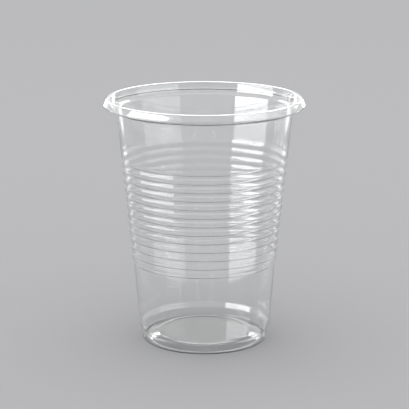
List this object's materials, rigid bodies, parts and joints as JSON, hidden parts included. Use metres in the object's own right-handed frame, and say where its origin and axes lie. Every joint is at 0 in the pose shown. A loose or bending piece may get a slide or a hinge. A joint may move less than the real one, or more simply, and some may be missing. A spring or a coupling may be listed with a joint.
{
  "type": "plastic disposable cup",
  "caption": "Clear thin-walled drinking cup with a flared wall, a band of fine horizontal ribs, a stacking shoulder above the foot and a rolled rim.",
  "frame": {"origin": "middle of the foot, at the level that the cup stands on", "axes": "+Z along the cup's axis, up through the open mouth; the cup is round, so X and Y are any two directions square to it"},
  "size_m": [0.0702, 0.0702, 0.0869],
  "materials": {
    "clear_plastic": "clear, smooth and glossy"
  },
  "bodies": {
    "root": {"cup": "clear_plastic"}
  },
  "joints": []
}
